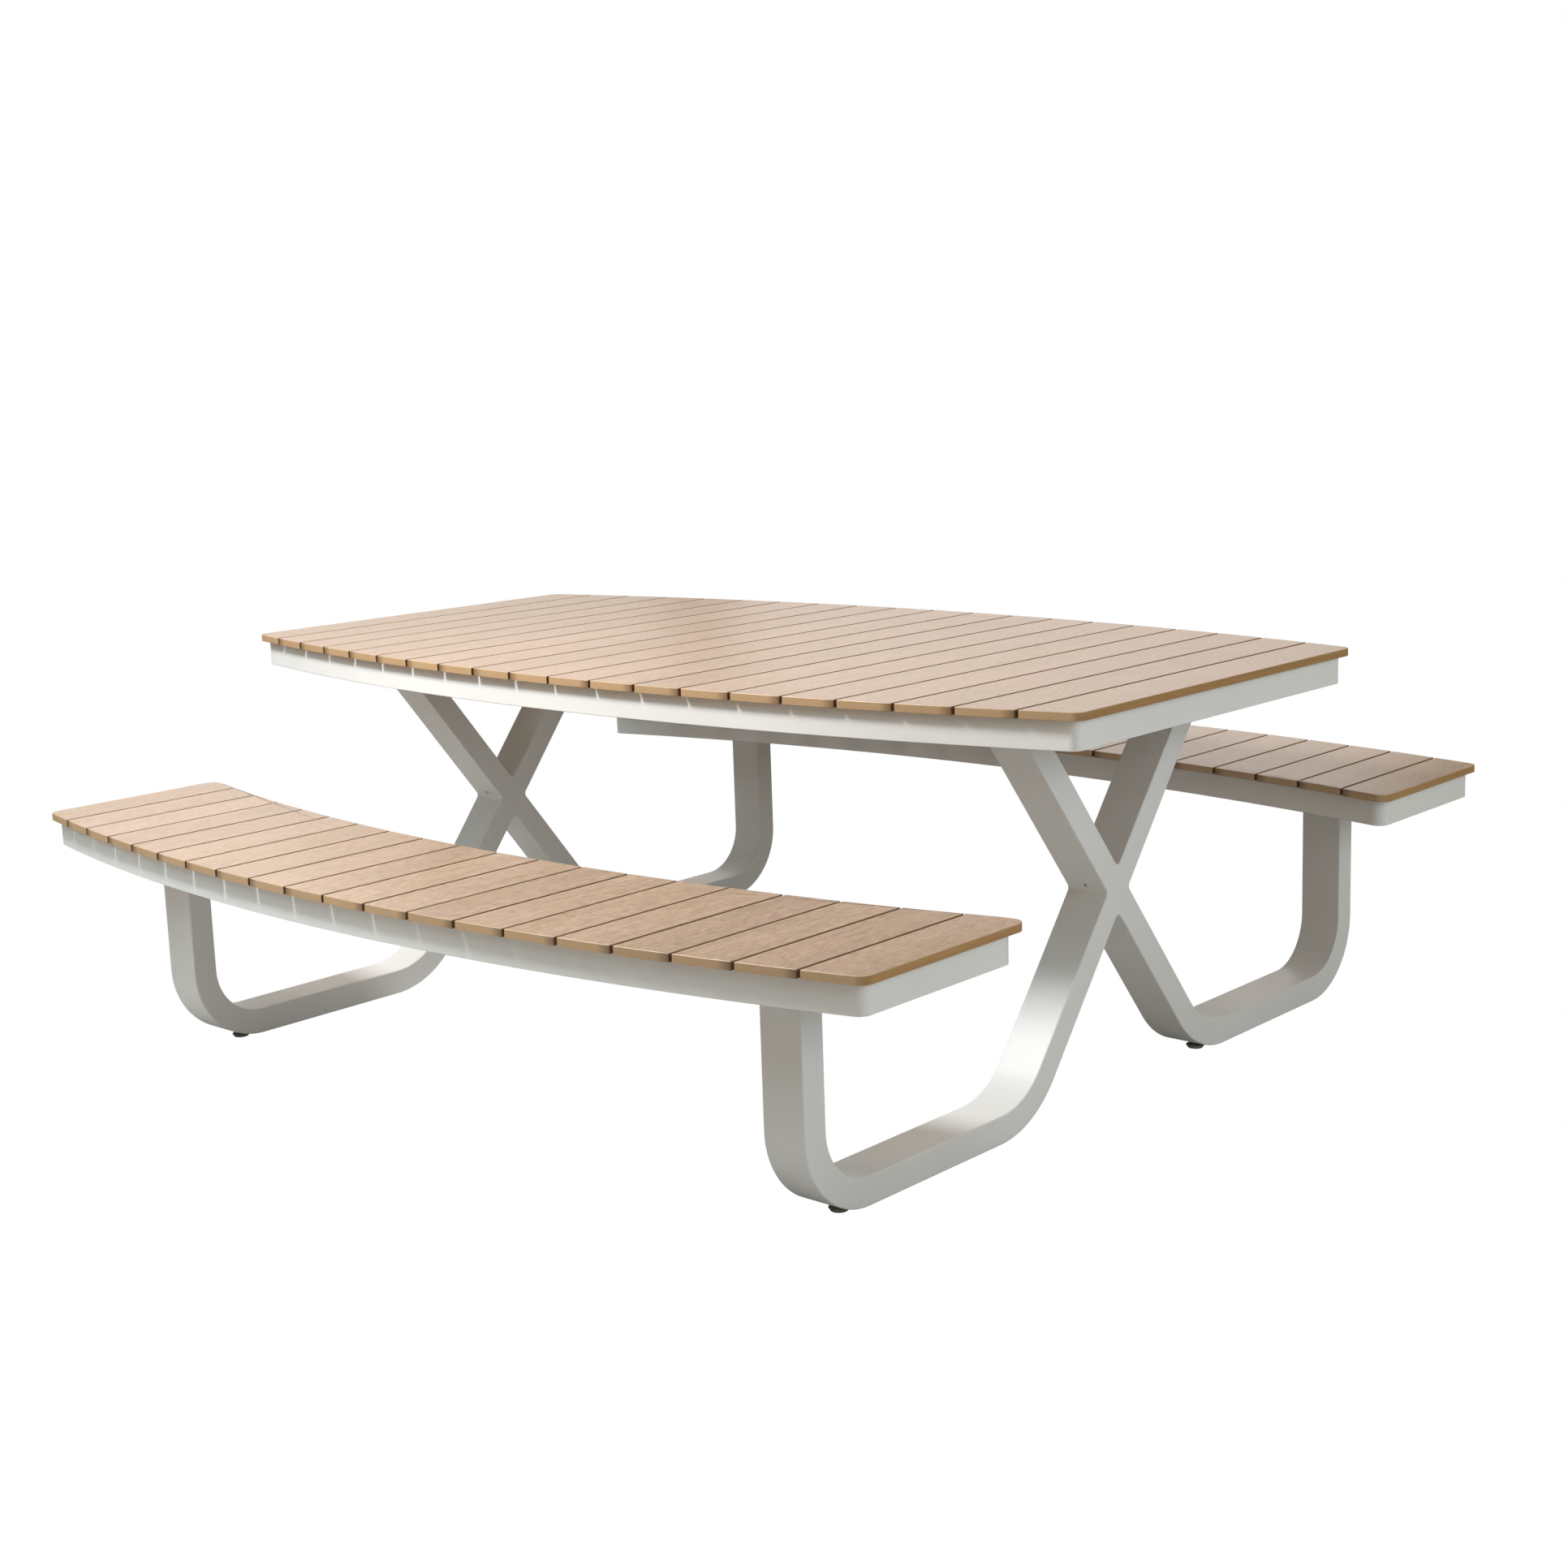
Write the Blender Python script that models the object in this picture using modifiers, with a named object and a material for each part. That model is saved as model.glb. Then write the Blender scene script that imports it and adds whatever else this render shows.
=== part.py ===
"""A picnic table with two fixed benches: bowed slatted decks on two welded X-shaped leg frames.

X runs along the table, Y across it from the front bench to the back bench, and Z up from the floor.
Run it in Blender 4.5. Lengths are in metres.
"""

import math

import bmesh
import bpy
from mathutils import Matrix, Vector

# Decks: 20 slats side by side, whose ends follow two circular arcs.
SLAT_COUNT = 20
SLAT_WIDTH = 0.100
SLAT_SPACE = 0.005
SLAT_THICKNESS = 0.014
SLAT_CHAMFER = 0.0012
DECK_CORNER_RADIUS = 0.022
TABLE_TOP_Z = 0.765
SEAT_TOP_Z = 0.470

# Distance of each deck edge from the middle plane of the table: at the two ends, and half way along.
TABLE_EDGE = (0.425, 0.560)
BENCH_INNER_EDGE = (0.562, 0.697)
BENCH_OUTER_EDGE = (0.950, 1.079)

# Aprons: boards on edge under the rim of each deck.
APRON_HEIGHT = 0.050
APRON_THICKNESS = 0.025
APRON_INSET = 0.014
APRON_CORNER_RADIUS = 0.020
APRON_RETURN = 0.045
ARC_STEPS = 32
CORNER_STEPS = 5

# Rails along the decks and crossbars over the leg frames.
RAIL_HEIGHT = 0.0174
TABLE_RAIL_WIDTH = 0.040
TABLE_RAIL_Y = 0.180
BENCH_RAIL_WIDTH = 0.030
BENCH_RAIL_Y = (0.765, 0.885)
CROSSBAR_HEIGHT = 0.020
PLATE_THICKNESS = 0.008
PLATE_OVERHANG = 0.020

# Leg frames: a flat rectangular tube, bent in a plane across the table.
FRAME_X = 0.790
TUBE_WIDTH = 0.084
TUBE_DEPTH = 0.050
TUBE_EDGE = 0.003
TUBE_BOTTOM_Z = 0.008
CROSSING_Z = 0.375
ARM_ANGLE = math.radians(51.6)
LEG_Y = 0.820
INNER_BEND_RADIUS = 0.170
OUTER_BEND_RADIUS = 0.125
BEND_STEPS = 12
NOTCH_RADIUS = 0.010
LOOP_START = 0.100
VENT_RADIUS = 0.0032
VENT_DEPTH = 0.006
VENT_FROM_CROSSING = 0.0335

# Levelling feet: a stem in a bore and a round pad on the floor.
FOOT_Y = (0.320, 0.722)
FOOT_TURN_STEPS = 20
PAD_FOOT_RADIUS = 0.0145
PAD_FOOT_EDGE = 0.0008
PAD_RIM_RADIUS = 0.0175
PAD_RIM_EDGE = 0.001
PAD_RIM_Z = 0.0048
PAD_TOP_Z = 0.0062
STEM_RADIUS = 0.005
STEM_TOP_Z = 0.042
BORE_CLEARANCE = 0.0005
BORE_TOP_Z = 0.046

FIT_GAP = 0.0003
JOIN_DEPTH = 0.0005
MERGE_DISTANCE = 1e-6
FLAT_ANGLE = 0.01
BORE_SIDES = 20

# Worked out from the dimensions above.
PITCH = SLAT_WIDTH + SLAT_SPACE
HALF_LENGTH = (SLAT_COUNT * PITCH - SLAT_SPACE) / 2
END_BOARD_X = HALF_LENGTH - APRON_INSET
RETURN_X = END_BOARD_X - APRON_RETURN
HALF_DEPTH = TUBE_DEPTH / 2
TUBE_CENTRE_Z = TUBE_BOTTOM_Z + HALF_DEPTH
FOOT_CORNER_Y = (CROSSING_Z - TUBE_CENTRE_Z) / math.tan(ARM_ANGLE)
CROSSING = Vector((0, CROSSING_Z))
UP_BACK = Vector((math.cos(ARM_ANGLE), math.sin(ARM_ANGLE)))
UP_FRONT = Vector((-math.cos(ARM_ANGLE), math.sin(ARM_ANGLE)))


def stack_below(deck_top_z):
    """Heights under a deck: underside of slats, rails, crossbars, plates and the top of the tubes."""
    slats = deck_top_z - SLAT_THICKNESS
    rails = slats - FIT_GAP - RAIL_HEIGHT
    crossbars = rails - FIT_GAP - CROSSBAR_HEIGHT
    plates = crossbars - FIT_GAP - PLATE_THICKNESS
    return {"slats": slats, "rails": rails, "crossbars": crossbars, "plates": plates}


def clear_scene():
    for old in list(bpy.data.objects):
        bpy.data.objects.remove(old)


def new_collection(name):
    made = bpy.data.collections.new(name)
    bpy.context.scene.collection.children.link(made)
    return made


def new_material(name, colour, roughness, metallic):
    made = bpy.data.materials.new(name)
    made.use_nodes = True
    shader = made.node_tree.nodes["Principled BSDF"]
    shader.inputs["Base Color"].default_value = (*colour, 1)
    shader.inputs["Roughness"].default_value = roughness
    shader.inputs["Metallic"].default_value = metallic
    return made


clear_scene()
PARTS = new_collection("picnic_table")
CUTTERS = new_collection("cutters")
SLAT_LOOK = ("slat", (0.62, 0.43, 0.27), 0.62, 0.0)
COAT_LOOK = ("powder_coat", (0.72, 0.72, 0.68), 0.45, 0.0)
TUBE_LOOK = ("tube_coat", (0.60, 0.60, 0.57), 0.45, 0.0)
FOOT_LOOK = ("foot_plastic", (0.16, 0.16, 0.15), 0.55, 0.0)


# ---- Outlines ----------------------------------------------------------------------------------


def arc_edge(end_and_middle, inset=0.0):
    """y(x) of a bowed edge; an inset moves it towards the centre of its circle."""
    end, middle = end_and_middle
    rise = middle - end
    radius = (HALF_LENGTH**2 + rise**2) / (2 * rise)
    return lambda x: middle - radius + math.sqrt((radius - inset) ** 2 - x**2)


def spread(low, high, steps):
    return [low + (high - low) * i / steps for i in range(steps + 1)]


def along(edge, low, high, steps):
    return [Vector((x, edge(x))) for x in spread(low, high, steps)]


def fillet(before, corner, after, radius, steps):
    """Points of the arc that rounds a corner, from the side of `before` to the side of `after`."""
    back = (before - corner).normalized()
    onward = (after - corner).normalized()
    half_angle = back.angle(onward) / 2
    centre = corner + (back + onward).normalized() * radius / math.sin(half_angle)
    tangent = radius / math.tan(half_angle)
    start = corner + back * tangent - centre
    sweep = start.angle_signed(corner + onward * tangent - centre)
    points = []
    for share in spread(0, 1, steps):
        turned = start.copy()
        turned.rotate(turn_by(sweep * share))
        points.append(centre + turned)
    return points


def turn_by(angle):
    """A 2D turn, clockwise for a positive angle as Vector.angle_signed counts it."""
    return Matrix.Rotation(-angle, 2)


def mirrored(points):
    """The outline on the other side of the middle plane, turned so that it runs the same way round."""
    return [Vector((p.x, -p.y)) for p in reversed(points)]


# ---- Solids ------------------------------------------------------------------------------------


def outline_solid(name, points, low, high, look):
    """A flat outline, closed and extruded from `low` to `high`, as a mesh object."""
    curve = bpy.data.curves.new(name, "CURVE")
    curve.dimensions = "2D"
    curve.fill_mode = "BOTH"
    curve.extrude = (high - low) / 2
    spline = curve.splines.new("POLY")
    spline.points.add(len(points) - 1)
    for spot, point in zip(spline.points, points):
        spot.co = (point.x, point.y, 0, 1)
    spline.use_cyclic_u = True
    flat = bpy.data.objects.new(name + "_outline", curve)
    PARTS.objects.link(flat)
    bpy.context.view_layer.update()
    solid = bpy.data.meshes.new_from_object(flat.evaluated_get(bpy.context.evaluated_depsgraph_get()))
    bpy.data.objects.remove(flat)
    mesh = bmesh.new()
    mesh.from_mesh(solid)
    bmesh.ops.remove_doubles(mesh, verts=mesh.verts, dist=MERGE_DISTANCE)
    bmesh.ops.recalc_face_normals(mesh, faces=mesh.faces)
    mesh.to_mesh(solid)
    mesh.free()
    made = bpy.data.objects.new(name, solid)
    made.location.z = (low + high) / 2
    if look:
        solid.materials.clear()
        solid.materials.append(new_material(name + "_" + look[0], *look[1:]))
    PARTS.objects.link(made)
    return made


def stand_across(obj, x):
    """Turns an outline drawn in (y, z) to stand across the table, centred on x."""
    obj.rotation_euler = (math.pi / 2, 0, math.pi / 2)
    obj.location = (x, 0, 0)
    return obj


def box(name, low, high, look):
    corners = [(low[0], low[1]), (high[0], low[1]), (high[0], high[1]), (low[0], high[1])]
    return outline_solid(name, [Vector(c) for c in corners], low[2], high[2], look)


def chamfer_top(obj, size):
    """Breaks the upper edges of an outline solid."""
    mesh = bmesh.new()
    mesh.from_mesh(obj.data)
    top = max(v.co.z for v in mesh.verts)
    upper = [e for e in mesh.edges if min(v.co.z for v in e.verts) > top - MERGE_DISTANCE]
    rim = [e for e in upper if not flat_edge(e)]
    bmesh.ops.bevel(mesh, geom=rim, offset=size, segments=1, affect="EDGES")
    mesh.to_mesh(obj.data)
    mesh.free()


def flat_edge(edge):
    return len(edge.link_faces) == 2 and edge.calc_face_angle() < FLAT_ANGLE


def boolean(obj, other, operation):
    other.hide_render = True
    other.display_type = "WIRE"
    PARTS.objects.unlink(other)
    CUTTERS.objects.link(other)
    modifier = obj.modifiers.new(operation.lower(), "BOOLEAN")
    modifier.operation = operation
    modifier.solver = "EXACT"
    modifier.object = other


def drill(obj, radius, centre, length, tilt=0.0):
    """A round hole along Z, or along Z tilted about X."""
    bpy.ops.mesh.primitive_cylinder_add(vertices=BORE_SIDES, radius=radius, depth=length, location=centre)
    cutter = bpy.context.object
    cutter.name = obj.name + "_bore"
    cutter.rotation_euler = (tilt, 0, 0)
    for holder in list(cutter.users_collection):
        holder.objects.unlink(cutter)
    PARTS.objects.link(cutter)
    boolean(obj, cutter, "DIFFERENCE")


# ---- Decks -------------------------------------------------------------------------------------


def slat_outline(index, low_edge, high_edge):
    """One slat seen from above. The two end slats have rounded outer corners."""
    left = -HALF_LENGTH + index * PITCH
    right = left + SLAT_WIDTH
    low = along(low_edge, left, right, 2)
    high = along(high_edge, right, left, 2)
    if index == 0:
        start = fillet(high[1], high[2], low[0], DECK_CORNER_RADIUS, CORNER_STEPS)
        end = fillet(high[2], low[0], low[1], DECK_CORNER_RADIUS, CORNER_STEPS)
        return low[1:] + high[:2] + start + end
    if index == SLAT_COUNT - 1:
        start = fillet(low[1], low[2], high[0], DECK_CORNER_RADIUS, CORNER_STEPS)
        end = fillet(low[2], high[0], high[1], DECK_CORNER_RADIUS, CORNER_STEPS)
        return low[:2] + start + end + high[1:]
    return low + high


def add_table_slats():
    edge = arc_edge(TABLE_EDGE)
    low = TABLE_TOP_Z - SLAT_THICKNESS
    for index in range(SLAT_COUNT):
        outline = slat_outline(index, lambda x: -edge(x), edge)
        slat = outline_solid(f"table_slat_{index + 1:02d}", outline, low, TABLE_TOP_Z, SLAT_LOOK)
        chamfer_top(slat, SLAT_CHAMFER)


def add_bench_deck(name, side):
    """The slats of a bench, held together by two rails under them."""
    inner = arc_edge(BENCH_INNER_EDGE)
    outer = arc_edge(BENCH_OUTER_EDGE)
    levels = stack_below(SEAT_TOP_Z)
    merged = bmesh.new()
    for index in range(SLAT_COUNT):
        outline = slat_outline(index, inner, outer)
        if side < 0:
            outline = mirrored(outline)
        slat = outline_solid("slat", outline, levels["slats"], SEAT_TOP_Z, None)
        chamfer_top(slat, SLAT_CHAMFER)
        merged.from_mesh(slat.data)
        bpy.data.objects.remove(slat)
    deck_mesh = bpy.data.meshes.new(name)
    merged.to_mesh(deck_mesh)
    merged.free()
    deck_mesh.materials.append(new_material(name + "_slat", *SLAT_LOOK[1:]))
    deck = bpy.data.objects.new(name, deck_mesh)
    deck.location.z = SEAT_TOP_Z - SLAT_THICKNESS / 2
    PARTS.objects.link(deck)
    reach = END_BOARD_X - APRON_THICKNESS - FIT_GAP
    for rail_y in BENCH_RAIL_Y:
        middle = side * rail_y
        low = (-reach, middle - BENCH_RAIL_WIDTH / 2, levels["rails"])
        high = (reach, middle + BENCH_RAIL_WIDTH / 2, levels["slats"] + JOIN_DEPTH)
        boolean(deck, box(name + "_rail", low, high, None), "UNION")


# ---- Aprons, rails and crossbars ---------------------------------------------------------------


def long_board(name, outer, inner, low, look):
    """A bowed apron board between its outer and inner faces."""
    points = along(outer, -RETURN_X, RETURN_X, ARC_STEPS) + along(inner, RETURN_X, -RETURN_X, ARC_STEPS)
    outline_solid(name, points, low, low + APRON_HEIGHT - FIT_GAP, look)


def end_board(name, side, low_faces, high_faces, low, look):
    """A straight end board that returns round both corners. Each pair is its outer and inner face."""
    start = RETURN_X + FIT_GAP
    inside_x = END_BOARD_X - APRON_THICKNESS
    corners = [Vector((END_BOARD_X, faces[0](END_BOARD_X))) for faces in (low_faces, high_faces)]
    first = Vector((start, low_faces[0](start)))
    last = Vector((start, high_faces[0](start)))
    points = [first]
    points += fillet(first, corners[0], corners[1], APRON_CORNER_RADIUS, CORNER_STEPS)
    points += fillet(corners[0], corners[1], last, APRON_CORNER_RADIUS, CORNER_STEPS)
    points += [last, Vector((start, high_faces[1](start))), Vector((inside_x, high_faces[1](inside_x)))]
    points += [Vector((inside_x, low_faces[1](inside_x))), Vector((start, low_faces[1](start)))]
    if side < 0:
        points = [Vector((-p.x, p.y)) for p in reversed(points)]
    outline_solid(name, points, low, low + APRON_HEIGHT - FIT_GAP, look)


def flipped(face):
    return lambda x: -face(x)


def add_crossbar(name, frame_x, low_face, high_face, low):
    """A flat bar over a leg frame, from one apron to the other, with ends cut to their curve."""
    left = frame_x - TUBE_WIDTH / 2
    right = frame_x + TUBE_WIDTH / 2
    points = [
        Vector((left, low_face(left) + FIT_GAP)),
        Vector((right, low_face(right) + FIT_GAP)),
        Vector((right, high_face(right) - FIT_GAP)),
        Vector((left, high_face(left) - FIT_GAP)),
    ]
    outline_solid(name, points, low, low + CROSSBAR_HEIGHT, COAT_LOOK)


def add_table_carcass():
    levels = stack_below(TABLE_TOP_Z)
    low = levels["slats"] - APRON_HEIGHT
    outer = arc_edge(TABLE_EDGE, APRON_INSET)
    inner = arc_edge(TABLE_EDGE, APRON_INSET + APRON_THICKNESS)
    long_board("table_apron_back", outer, inner, low, COAT_LOOK)
    long_board("table_apron_front", flipped(outer), flipped(inner), low, COAT_LOOK)
    for side, word in ((-1, "left"), (1, "right")):
        faces = ((flipped(outer), flipped(inner)), (outer, inner))
        end_board(f"table_apron_{word}_end", side, *faces, low, COAT_LOOK)
        name = f"table_crossbar_{word}"
        add_crossbar(name, side * FRAME_X, flipped(inner), inner, levels["crossbars"])
    reach = END_BOARD_X - APRON_THICKNESS - FIT_GAP
    half = TABLE_RAIL_WIDTH / 2
    for side, word in ((-1, "front"), (1, "back")):
        middle = side * TABLE_RAIL_Y
        lowest = (-reach, middle - half, levels["rails"])
        highest = (reach, middle + half, levels["rails"] + RAIL_HEIGHT)
        box(f"table_rail_{word}", lowest, highest, COAT_LOOK)


def add_bench_carcass(bench, side):
    levels = stack_below(SEAT_TOP_Z)
    low = levels["slats"] - APRON_HEIGHT
    outer = (
        arc_edge(BENCH_OUTER_EDGE, APRON_INSET),
        arc_edge(BENCH_OUTER_EDGE, APRON_INSET + APRON_THICKNESS),
    )
    inner = (
        arc_edge(BENCH_INNER_EDGE, -APRON_INSET),
        arc_edge(BENCH_INNER_EDGE, -APRON_INSET - APRON_THICKNESS),
    )
    if side < 0:
        outer = tuple(flipped(face) for face in outer)
        inner = tuple(flipped(face) for face in inner)
    long_board(f"{bench}_bench_apron_outer", *outer, low, COAT_LOOK)
    long_board(f"{bench}_bench_apron_inner", *inner, low, COAT_LOOK)
    low_faces, high_faces = (outer, inner) if side < 0 else (inner, outer)
    for end, word in ((-1, "left"), (1, "right")):
        end_board(f"{bench}_bench_apron_{word}_end", end, low_faces, high_faces, low, COAT_LOOK)
        name = f"{bench}_bench_crossbar_{word}"
        add_crossbar(name, end * FRAME_X, low_faces[1], high_faces[1], levels["crossbars"])


# ---- Leg frames --------------------------------------------------------------------------------


def bent_outline(route, radii):
    """The side view of a tube that follows `route`, with an arc at each inner point of it."""
    centre = [(route[0], (route[1] - route[0]).normalized())]
    for before, corner, after, radius in zip(route, route[1:], route[2:], radii):
        arc = fillet(before, corner, after, radius, BEND_STEPS)
        ways = [(corner - before).normalized()]
        ways += [(b - a).normalized() for a, b in zip(arc, arc[2:])]
        ways += [(after - corner).normalized()]
        centre += list(zip(arc, ways))
    centre.append((route[-1], (route[-1] - route[-2]).normalized()))
    left = [p + Vector((-way.y, way.x)) * HALF_DEPTH for p, way in centre]
    right = [p - Vector((-way.y, way.x)) * HALF_DEPTH for p, way in centre]
    return left + right[::-1]


def cross(point, way, other_point, other_way):
    """Where two straight lines meet."""
    apart = other_point - point
    return point + way * apart.cross(other_way) / way.cross(other_way)


def notched_start(way, side):
    """The end of a tube that runs from the crossing along `way`, welded to the tube that passes through it.

    `side` is 1 above that tube and -1 below it. The two notches are rounded by the weld.
    """
    across = Vector((-way.y, way.x)) * HALF_DEPTH
    face_point = CROSSING + Vector((-UP_BACK.y, UP_BACK.x)) * side * (HALF_DEPTH + FIT_GAP)
    points = []
    for edge in (across, -across):
        corner = cross(CROSSING + edge, way, face_point, UP_BACK)
        outward = UP_BACK if UP_BACK.dot(edge) > 0 else -UP_BACK
        rounded = fillet(corner + way, corner, corner + outward, NOTCH_RADIUS, CORNER_STEPS)
        points.append(rounded if edge is across else rounded[::-1])
    return points


def tube_top_y(top_z):
    return (top_z - CROSSING_Z) / math.tan(ARM_ANGLE)


def upright(name, points, frame_x):
    tube = outline_solid(name, points, -TUBE_WIDTH / 2, TUBE_WIDTH / 2, TUBE_LOOK)
    bevel = tube.modifiers.new("edges", "BEVEL")
    bevel.width = TUBE_EDGE
    bevel.segments = 2
    bevel.angle_limit = math.radians(60)
    return stand_across(tube, frame_x)


def weld_plate(tube, frame_x, centre_y, half_y, low):
    """A flat plate on the sawn end of a tube, for the bolts into the crossbar above it."""
    half_x = TUBE_WIDTH / 2
    corner = (frame_x - half_x, centre_y - half_y, low)
    far = (frame_x + half_x, centre_y + half_y, low + PLATE_THICKNESS)
    boolean(tube, box(tube.name + "_plate", corner, far, None), "UNION")


def add_leg_frame(word, side):
    frame_x = side * FRAME_X
    table_low = stack_below(TABLE_TOP_Z)["plates"]
    bench_low = stack_below(SEAT_TOP_Z)["plates"]
    tube_end_z = table_low + JOIN_DEPTH
    leg_end_z = bench_low + JOIN_DEPTH
    half_saw = HALF_DEPTH / math.sin(ARM_ANGLE)

    # The tube that passes through the crossing, from the back of the table to the front bench.
    top = tube_top_y(tube_end_z)
    route = [
        Vector((top, tube_end_z)),
        Vector((-FOOT_CORNER_Y, TUBE_CENTRE_Z)),
        Vector((-LEG_Y, TUBE_CENTRE_Z)),
        Vector((-LEG_Y, leg_end_z)),
    ]
    points = bent_outline(route, (INNER_BEND_RADIUS, OUTER_BEND_RADIUS))
    points[0] = Vector((top + half_saw, tube_end_z))
    points[-1] = Vector((top - half_saw, tube_end_z))
    main = upright(f"{word}_frame_main_tube", points, frame_x)
    weld_plate(main, frame_x, top, half_saw + PLATE_OVERHANG, table_low)
    weld_plate(main, frame_x, -LEG_Y, HALF_DEPTH + PLATE_OVERHANG, bench_low)

    # The arm from the crossing to the front of the table.
    notches = notched_start(UP_FRONT, 1)
    ends = [Vector((-top + half_saw, tube_end_z)), Vector((-top - half_saw, tube_end_z))]
    strut = upright(f"{word}_frame_upper_strut", notches[0] + notches[1] + ends, frame_x)
    weld_plate(strut, frame_x, -top, half_saw + PLATE_OVERHANG, table_low)
    facing = Vector((-UP_FRONT.y, UP_FRONT.x))
    vent = CROSSING + UP_FRONT * VENT_FROM_CROSSING + facing * HALF_DEPTH
    drill(strut, VENT_RADIUS, (frame_x, vent.x, vent.y), VENT_DEPTH * 2, -ARM_ANGLE)

    # The bent tube from the crossing to the back bench.
    notches = notched_start(-UP_FRONT, -1)
    route = [
        CROSSING - UP_FRONT * LOOP_START,
        Vector((FOOT_CORNER_Y, TUBE_CENTRE_Z)),
        Vector((LEG_Y, TUBE_CENTRE_Z)),
        Vector((LEG_Y, leg_end_z)),
    ]
    points = notches[1] + notches[0] + bent_outline(route, (INNER_BEND_RADIUS, OUTER_BEND_RADIUS))
    loop = upright(f"{word}_frame_back_loop", points, frame_x)
    weld_plate(loop, frame_x, LEG_Y, HALF_DEPTH + PLATE_OVERHANG, bench_low)

    for tube, facing, bench in ((main, -1, "front"), (loop, 1, "back")):
        for distance, place in zip(FOOT_Y, ("inner", "outer")):
            centre = (frame_x, facing * distance, BORE_TOP_Z / 2)
            drill(tube, STEM_RADIUS + BORE_CLEARANCE, centre, BORE_TOP_Z)
            add_foot(f"{word}_{bench}_{place}_foot", centre[0], centre[1])


def add_foot(name, x, y):
    """A turned levelling foot, whose axis is its joint's axis."""
    profile = [
        (0, STEM_TOP_Z),
        (STEM_RADIUS, STEM_TOP_Z),
        (STEM_RADIUS, PAD_TOP_Z),
        (PAD_RIM_RADIUS - PAD_RIM_EDGE, PAD_TOP_Z),
        (PAD_RIM_RADIUS, PAD_RIM_Z),
        (PAD_FOOT_RADIUS, PAD_FOOT_EDGE),
        (PAD_FOOT_RADIUS - PAD_FOOT_EDGE, 0),
        (0, 0),
    ]
    line = bpy.data.meshes.new(name)
    edges = [(i, i + 1) for i in range(len(profile) - 1)]
    line.from_pydata([(r, 0, z) for r, z in profile], edges, [])
    line.materials.append(new_material(name + "_" + FOOT_LOOK[0], *FOOT_LOOK[1:]))
    foot = bpy.data.objects.new(name, line)
    foot.location = (x, y, 0)
    PARTS.objects.link(foot)
    turn = foot.modifiers.new("turn", "SCREW")
    turn.steps = FOOT_TURN_STEPS
    turn.render_steps = FOOT_TURN_STEPS
    turn.use_merge_vertices = True
    turn.merge_threshold = 0.0001
    turn.use_smooth_shade = True


add_table_slats()
add_table_carcass()
for bench_name, bench_side in (("front", -1), ("back", 1)):
    add_bench_deck(f"{bench_name}_bench_deck", bench_side)
    add_bench_carcass(bench_name, bench_side)
for frame_name, frame_side in (("left", -1), ("right", 1)):
    add_leg_frame(frame_name, frame_side)
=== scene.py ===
"""Looks of the picnic table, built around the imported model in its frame: metres, X along the table,
Y from the front bench to the back bench, Z up from the floor."""

import math

import bmesh
import bpy
from mathutils import Matrix, Vector


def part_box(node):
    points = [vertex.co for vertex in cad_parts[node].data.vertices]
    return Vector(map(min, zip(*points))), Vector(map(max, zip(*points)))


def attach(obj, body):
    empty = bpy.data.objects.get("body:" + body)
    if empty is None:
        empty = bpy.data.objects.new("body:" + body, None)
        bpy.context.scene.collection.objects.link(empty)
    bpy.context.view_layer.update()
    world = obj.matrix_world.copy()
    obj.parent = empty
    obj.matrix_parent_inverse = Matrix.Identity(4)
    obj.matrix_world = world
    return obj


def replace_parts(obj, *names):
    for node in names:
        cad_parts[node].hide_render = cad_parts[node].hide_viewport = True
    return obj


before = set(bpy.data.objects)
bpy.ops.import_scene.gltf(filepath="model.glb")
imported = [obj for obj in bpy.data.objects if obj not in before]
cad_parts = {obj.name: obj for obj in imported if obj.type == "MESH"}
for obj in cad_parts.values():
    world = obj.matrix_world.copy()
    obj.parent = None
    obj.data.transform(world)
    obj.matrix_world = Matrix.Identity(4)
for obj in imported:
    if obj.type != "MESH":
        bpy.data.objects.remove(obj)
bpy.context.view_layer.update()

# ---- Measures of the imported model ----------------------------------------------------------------

SLAT_COUNT = 20
SLAT_LOW, SLAT_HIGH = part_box("table_slat_10")
NEXT_LOW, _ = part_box("table_slat_11")
HALF_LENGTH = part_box("table_slat_20")[1].x
SLAT_WIDTH = SLAT_HIGH.x - SLAT_LOW.x
PITCH = NEXT_LOW.x - SLAT_LOW.x
SLAT_THICKNESS = SLAT_HIGH.z - SLAT_LOW.z
TABLE_TOP_Z = SLAT_HIGH.z
SEAT_TOP_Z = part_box("front_bench_deck")[1].z

# Distance of each deck edge from the middle plane: at the two ends, and half way along.
TABLE_EDGE = (0.425, 0.560)
BENCH_INNER_EDGE = (0.562, 0.697)
BENCH_OUTER_EDGE = (0.950, 1.079)
DECK_CORNER_RADIUS = 0.022
SLAT_CORNER_RADIUS = 0.0012
SLAT_RIM_RADIUS = 0.0013
SLAT_LOW_RIM_RADIUS = 0.0008
SLAT_PLAY = 0.0003

APRON_INSET = 0.014
APRON_THICKNESS = 0.025
APRON_CORNER_RADIUS = 0.020
APRON_RIM_RADIUS = 0.0015
END_BOARD_X = HALF_LENGTH - APRON_INSET
CORNER_REACH = 0.045

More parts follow.
